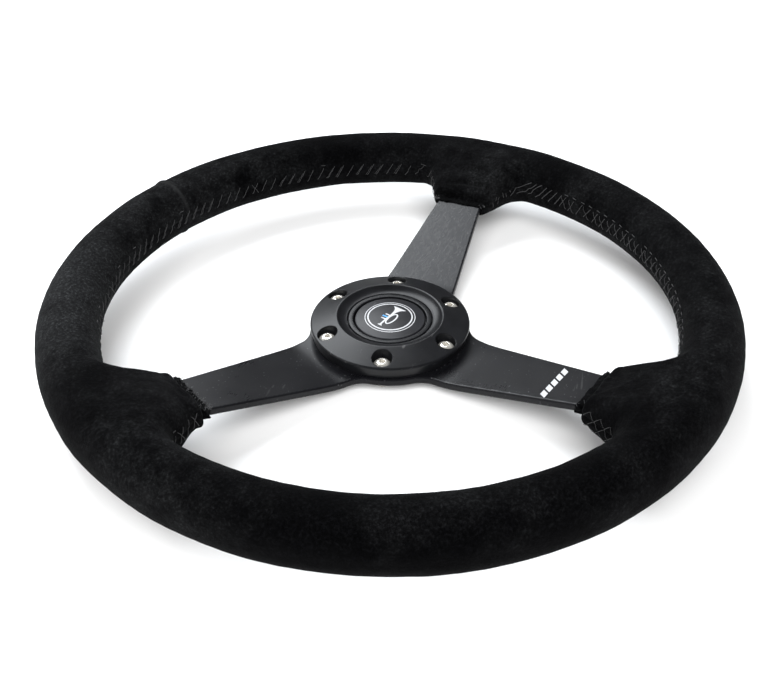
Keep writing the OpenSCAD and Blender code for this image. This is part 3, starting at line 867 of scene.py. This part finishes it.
def seam_path(start, end):
    """The laced joint from the mouth of one boot, round the rim's inner side, to the next mouth."""
    boot_side_end = 137.0
    first_clear, last_clear = 19.0, 18.5

    def boot_side(angle, side):
        s = np.linspace(MOUTH_AT + 1.5, boot_side_end, 16)
        v = side * np.interp(s, BOOT_STATIONS[:, 0], BOOT_STATIONS[:, 1])
        c, d = math.cos(angle), math.sin(angle)
        return np.stack([s * c - v * d, s * d + v * c], -1)
    turns = np.radians(np.arange(math.degrees(start) + first_clear, math.degrees(end) - last_clear, 0.4))
    middle = INNER_R * np.stack([np.cos(turns), np.sin(turns)], -1)
    plan = np.vstack([boot_side(start, 1), middle, boot_side(end, -1)[::-1]])
    points = np.column_stack([plan, np.zeros(len(plan))])
    for _ in range(6):
        points[:, 2] = seam_height(np.hypot(points[:, 0], points[:, 1]))
        points = settle(grip_field, points, rounds=1, longest=2.0)
    gaps = np.r_[0, np.cumsum(np.linalg.norm(np.diff(points, axis=0), axis=1))]
    even = np.linspace(0, gaps[-1], int(gaps[-1] / 0.5))
    return np.stack([np.interp(even, gaps, points[:, i]) for i in range(3)], -1), gaps[-1]


def at_length(path, total, where):
    """Points of a path at those distances along it."""
    where = np.clip(np.asarray(where, float), 0, total)
    marks = np.linspace(0, total, len(path))
    return np.stack([np.interp(where, marks, path[:, i]) for i in range(3)], -1)


def make_stitch(path, total, top, bottom, height=0.16, thick=THREAD_R, bow=0.0):
    """One thread that lies on the suede from (distance, rise) top to bottom along the joint."""
    t = np.linspace(0, 1, 9)
    along = top[0] + (bottom[0] - top[0]) * t
    line = at_length(path, total, along)
    line[:, 2] += top[1] + (bottom[1] - top[1]) * t + bow * np.sin(math.pi * t)
    line = settle(grip_field, line, height, longest=1.5)
    slope = gradient(grip_field, line[[0, -1]])
    line[[0, -1]] -= slope * (height + 0.45)
    return tube(line, thick)


def make_lacing(name, node, start, end, crossed, dashes, seed, plain_end=0.0):
    """Slanting stitches along one stretch of the joint, some crossed, some with a dash above.

    The last plain_end millimetres are left for the loose strands.
    """
    rng = np.random.default_rng(seed)
    path, total = seam_path(start, end)
    parts = []

    def sew(top, bottom, **how):
        parts.append(make_stitch(path, total, top, bottom, **how))

    for i in range(int((total - plain_end) / STITCH_PITCH)):
        at = (i + 0.5) * STITCH_PITCH + rng.normal(0, 0.25)
        up = STITCH_UP + rng.normal(0, 0.3)
        down = -STITCH_DOWN + rng.normal(0, 0.3)
        slant = 4.9 + rng.normal(0, 0.35)
        left, right = at - slant / 2, at + slant / 2
        sew((left, up), (right, down), bow=rng.normal(0, 0.2))
        if rng.uniform() < crossed:
            drift = rng.normal(0, 0.5)
            sew((right + drift, up - 0.5), (left + drift, down),
                height=0.42, thick=THREAD_R * 0.9, bow=rng.normal(0, 0.3))
        elif rng.uniform() < DOUBLED:
            sew((left + 1.3, up - 1.2), (right + 0.9, down + 0.6),
                thick=THREAD_R * 0.8, bow=rng.normal(0, 0.3))
        if rng.uniform() < dashes:
            sew((at - 3.4, STITCH_UP + 0.9), (at - 0.6, STITCH_UP + 1.2 + rng.normal(0, 0.2)),
                thick=THREAD_R * 1.15)
    points, faces = join(parts)
    piece(name, points, faces, THREAD, stands_for=(node,))
    return path, total


def make_loose_threads(left_path, left_total, right_path, right_total):
    """Strands left by hand sewing: a fan and short ends by the right boot, a net on the bottom boot."""
    rng = np.random.default_rng(77)
    parts = []
    for i in range(7):
        start = right_total - 24 - 4.2 * i
        top, bottom = (start - 6.5 + 0.5 * i, 7.0 - 0.35 * i), (start + 5.5 - 0.6 * i, -3.8)
        parts.append(make_stitch(right_path, right_total, top, bottom, 0.25, 0.22, rng.normal(0, 0.5)))
    for i in range(6):
        start = right_total - 3 - 2.9 * i
        top = rng.uniform(0.5, 3.6)
        end = (start + rng.uniform(-1.8, 2.2), top - rng.uniform(2.0, 4.6))
        parts.append(make_stitch(right_path, right_total, (start, top), end, 0.2, 0.17))
    net = []
    cell = 7.2
    for row in range(3):
        for i in range(3):
            at = left_total - 3.5 - cell * (i + 0.5 * (row % 2))
            low = 4.2 - 3.6 * row
            for lean in (-0.5, 0.5):
                upper = (at, low + rng.normal(0, 0.3))
                lower = (at + lean * cell, low - 3.4 + rng.normal(0, 0.3))
                net.append(make_stitch(left_path, left_total, upper, lower, height=0.34, thick=0.14))
    points, faces = join(parts)
    piece("loose_sewing_strands", points, faces, THREAD)
    points, faces = join(net)
    piece("loose_net_strands", points, faces, DIM_THREAD)


def make_fibres():
    """Short fibres out of the left boot's rough cut hem and the corners of the others."""
    rng = np.random.default_rng(5)
    parts = []
    for name, count in (("left", 90), ("bottom", 8), ("right", 24)):
        angle = SPOKES[name]
        c, d = math.cos(angle), math.sin(angle)
        for _ in range(count):
            s = HEM_FROM + abs(rng.normal(0, 1.4))
            if name == "left":
                v = rng.uniform(-15.5, 15.5)
            else:
                v = rng.choice([-1, 1]) * rng.uniform(12.5, 16)
            z = plate_middle(np.array([s]))[0] + 3.0
            root = np.array([s * c - v * d, s * d + v * c, z])
            way = rng.normal(size=3) + np.array([-1.2 * c, -1.2 * d, 0.5])
            way *= rng.uniform(0.8, 2.3) / np.linalg.norm(way)
            curl = rng.normal(0, 0.25, 3)
            t = np.linspace(0, 1, 5)[:, None]
            parts.append(tube(root + t * way + curl * np.sin(math.pi * t), 0.1, sides=5))
    points, faces = join(parts)
    piece("hem_fibres", points, faces, FIBRE)


# ---- Metal parts ----

def make_plate():
    step = 0.8
    reach = TIP_END + 3
    low, high = [-reach, -reach, -2.5], [reach, reach * 0.35, CORE_HIGH[2] + 2]
    net_piece("spoke_plate_milled", plate_field, low, high, step, PLATE,
              ("spoke_plate",), smooth=2)


def make_ring():
    step = 0.38
    low, high = [-RING_R - 2, -RING_R - 2, PLATE_T - 1.5], [RING_R + 2, RING_R + 2, RING_TOP + 1.5]
    net_piece("horn_ring_turned", ring_field, low, high, step, RING,
              ("horn_ring",), smooth=1)


def make_bolts():
    step = 0.19
    low, high = [-6, -6, BOLT_LOW[2] - 1], [6, 6, HEAD_TOP + 1]
    points, quads, normals = surface_net(bolt_field, low, high, step, smooth=1)
    bolts, all_normals = [], []
    rng = np.random.default_rng(9)
    for i in range(6):
        place = NOON + i * math.pi / 3
        twist = rng.uniform(0, math.pi / 3)
        c, s = math.cos(twist), math.sin(twist)
        spin = np.array([[c, s, 0], [-s, c, 0], [0, 0, 1]])
        centre = [PCD_R * math.cos(place), PCD_R * math.sin(place), 0]
        bolts.append((points @ spin + centre, quads))
        all_normals.append(normals @ spin)
    points, faces = join(bolts)
    piece("mounting_bolt_set", points, faces, STAINLESS,
          stands_for=("mounting_bolts",), normals=np.vstack(all_normals))


def make_bezel():
    inner, outer = 19.1, 21.95
    flange_r, seat, flange_top, top = 24.4, 8.0, 9.85, 11.9
    lip = 0.6
    profile = [(inner, seat), (flange_r, seat), (flange_r, flange_top), (outer, flange_top)]
    profile += arc((outer - lip, top - lip), lip, 0, 90, 8)
    profile += arc((inner + lip, top - lip), lip, 90, 180, 8)
    points, faces = turned(profile)
    piece("button_bezel_turned", points, faces, BEZEL,
          stands_for=("button_bezel",), sharp=SHARP_ANGLE)


def dome_height(r):
    """Height of the cap's crown at a distance from the axis."""
    return CAP_TOP - CAP_DOME + np.sqrt(CAP_DOME ** 2 - np.square(r))


def make_cap():
    edge = 0.7
    crown = [(r, float(dome_height(r))) for r in np.linspace(0, CAP_R - edge, 24)]
    shoulder = arc((CAP_R - edge, float(dome_height(CAP_R - edge)) - edge), edge, 84, 0, 7)
    flange_r, flange_top, foot = 20.6, 7.9, 6.4
    hollow_r, ceiling = 16.6, 10.2
    post_r, post_end = 4.0, 7.2
    flange = [(CAP_R, flange_top), (flange_r, flange_top), (flange_r, foot)]
    hollow = [(hollow_r, foot), (hollow_r, ceiling), (post_r, ceiling), (post_r, post_end), (0, post_end)]
    points, faces = turned(crown + shoulder + flange + hollow)
    piece("button_cap_domed", points, [f[::-1] for f in faces], CAP, "horn_cap",
          ("button_cap",), sharp=SHARP_ANGLE)


# ---- Printed marks: plain rings, a horn sign and plain bars ----

def slab(top, lift_to, thick):
    """A thin closed solid under a grid of plan points (rows, columns, 2), laid on a surface."""
    rows, columns = top.shape[:2]
    flat = top.reshape(-1, 2)
    upper = np.column_stack([flat, lift_to(flat) + thick])
    lower = np.column_stack([flat, lift_to(flat) - thick])
    n = rows * columns
    faces = []
    for i in range(rows - 1):
        for j in range(columns - 1):
            a, b = i * columns + j, (i + 1) * columns + j
            faces.append((a, b, b + 1, a + 1))
            faces.append((n + a, n + a + 1, n + b + 1, n + b))
    rim = [(0, j) for j in range(columns)] + [(i, columns - 1) for i in range(1, rows)]
    rim += [(rows - 1, j) for j in range(columns - 2, -1, -1)] + [(i, 0) for i in range(rows - 2, 0, -1)]
    loop = [i * columns + j for i, j in rim]
    faces += [(a, b, n + b, n + a) for a, b in zip(loop, loop[1:] + loop[:1])]
    return np.vstack([upper, lower]), faces


def ring_grid(inner, outer, start, end, centre=(0, 0), flatter=0.0):
    """Part of a ring from one angle to another, or of an oval that is that much flatter along Y."""
    turns = np.radians(np.linspace(start, end, max(6, int(abs(end - start) / 3))))
    radii = np.linspace(inner, outer, 3)[None, :]
    x = radii * np.cos(turns)[:, None]
    y = (radii - flatter) * np.sin(turns)[:, None]
    return np.stack([x, y], -1) + np.array(centre)


def strip_grid(stations):
    """A strip along X through (x, lowest y, highest y) stations."""
    stations = np.array(stations, float)
    x = np.linspace(stations[0, 0], stations[-1, 0], 24)
    low = np.interp(x, stations[:, 0], stations[:, 1])
    high = np.interp(x, stations[:, 0], stations[:, 2])
    share = np.linspace(0, 1, 7)[None, :]
    y = low[:, None] * (1 - share) + high[:, None] * share
    return np.stack([np.repeat(x[:, None], 7, 1), y], -1)


def make_emblem():
    """Two plain rings with a small trumpet in them, one valve of it blue."""
    rings = [ring_grid(12.9, 13.3, 0, 360), ring_grid(11.2, 11.9, 0, 360)]
    mouthpiece = [(-9.2, -1.3, 1.3), (-8.4, -0.9, 0.9)]
    bell = [(-8.4, -0.45, 0.45), (1.5, -0.5, 0.5), (4.6, -0.9, 0.9), (7.0, -1.8, 1.8), (9.0, -3.9, 3.9)]
    coil = ring_grid(4.2, 5.0, 0, 360, (-1.6, -2.2), 2.8)
    valves = [strip_grid([(x - 0.4, 0.4, 3.0), (x + 0.4, 0.4, 3.0)]) for x in (-3.5, 0.3)]
    blue_valve = strip_grid([(-2.05, 0.35, 3.5), (-1.15, 0.35, 3.5)])
    grids = rings + [strip_grid(mouthpiece), strip_grid(bell), coil] + valves

    def lift(flat):
        return dome_height(np.hypot(flat[:, 0], flat[:, 1]))
    points, faces = join([slab(g, lift, 0.05) for g in grids])
    piece("emblem_print", points, faces, WHITE_INK, "horn_cap",
          ("cap_emblem",), sharp=SHARP_ANGLE)
    points, faces = slab(blue_valve, lift, 0.06)
    piece("emblem_print_accent", points, faces, BLUE_INK, "horn_cap", sharp=SHARP_ANGLE)


def make_spoke_mark():
    """A row of plain slanted bars printed across the bottom spoke."""
    middle_s, half, slant = 97.0, 1.6, 2.2
    first, pitch, width, count = -12.6, 5.0, 3.7, 5
    across = np.linspace(0, width, 4)
    up = np.linspace(-half, half, 4)
    grids = []
    for i in range(count):
        x = first + pitch * i
        grids.append(np.array([[(x + a + slant * u / half / 2, u - middle_s) for u in up] for a in across]))

    def lift(flat):
        return plate_middle(-flat[:, 1]) + PLATE_T / 2 / math.cos(math.atan(RISE))
    points, faces = join([slab(g, lift, 0.04) for g in grids])
    piece("spoke_print", points, faces, WHITE_INK, sharp=SHARP_ANGLE)


# ---- Studio ----

def area_light(name, place, target, size, power, tint=(1, 1, 1), mirrored=True):
    light = bpy.data.lights.new(name, "AREA")
    light.shape = "RECTANGLE"
    light.size, light.size_y = size
    light.energy = power
    light.color = tint
    obj = bpy.data.objects.new(name, light)
    obj.location = place
    obj.visible_glossy = mirrored
    way = Vector(target) - Vector(place)
    obj.rotation_euler = way.to_track_quat("-Z", "Y").to_euler()
    bpy.context.scene.collection.objects.link(obj)


def make_camera():
    camera = bpy.data.cameras.new("camera")
    camera.lens = 43.64
    camera.sensor_width = 36
    view = bpy.data.objects.new("camera", camera)
    view.location = Vector((-0.3236, -0.2390, 0.27557 + RIM_Z * MM))
    view.rotation_euler = Euler((math.radians(52.39), 0, math.radians(-53.55)))
    bpy.context.scene.collection.objects.link(view)
    bpy.context.scene.camera = view


def make_world():
    world = bpy.data.worlds.new("studio")
    world.use_nodes = True
    background = world.node_tree.nodes["Background"]
    background.inputs["Color"].default_value = (1.0, 1.0, 1.0, 1)
    background.inputs["Strength"].default_value = 0.16
    bpy.context.scene.world = world
    bpy.context.scene.view_settings.view_transform = "Standard"


def make_floor():
    floor_finish = Finish("floor_pale", Specular_IOR_Level=0.1)
    tone = floor_finish.noise(300, 2.0)
    floor_finish.set("Base Color", floor_finish.mix(tone, (0.86, 0.86, 0.86), (0.9, 0.9, 0.9)))
    floor_finish.set("Roughness", floor_finish.spread(tone, 0.3, 0.7, 0.85, 0.95))
    half, depth = 6.0, CAD_BOX[0][2]
    mesh = bpy.data.meshes.new("floor")
    corners = [(-half, -half), (half, -half), (half, half), (-half, half)]
    mesh.from_pydata([(x, y, depth) for x, y in corners], [], [(0, 1, 2, 3)])
    mesh.materials.append(floor_finish.material)
    floor = bpy.data.objects.new("floor", mesh)
    bpy.context.scene.collection.objects.link(floor)


def make_lights():
    """A soft light on the near left, one on the far side that the plate mirrors, and a low fill."""
    centre = (0, 0, 0.02)
    area_light("near_soft", (-0.95, -0.75, 1.35), centre, (1.9, 1.6), 56, mirrored=False)
    area_light("far_soft", (0.4, 0.78, 0.98), centre, (0.9, 0.85), 25, (0.93, 0.965, 1.0))
    area_light("left_fill", (-1.0, 0.75, 0.7), centre, (0.9, 0.8), 5)


finish_cad_nodes()
make_camera()
make_world()
make_floor()
make_lights()
make_grip()
for hem_name, hem_rough, hem_seed in (("left", 0.5, 61), ("right", 0.25, 71), ("bottom", 0.3, 81)):
    make_hem(hem_name, hem_rough, hem_seed)
make_lacing("lacing_thread_top", "lacing_top", SPOKES["right"], SPOKES["left"], 0.1, 0.1, 101)
lower_left = make_lacing("lacing_thread_left", "lacing_left", SPOKES["left"], SPOKES["bottom"],
                         0.85, 0.5, 102, plain_end=21.0)
lower_right = make_lacing("lacing_thread_right", "lacing_right", SPOKES["bottom"],
                          SPOKES["right"] + 2 * math.pi, 0.95, 0.9, 103, plain_end=46.0)
make_loose_threads(*lower_left, *lower_right)
make_fibres()
make_plate()
make_ring()
make_bolts()
make_bezel()
make_cap()
make_emblem()
make_spoke_mark()
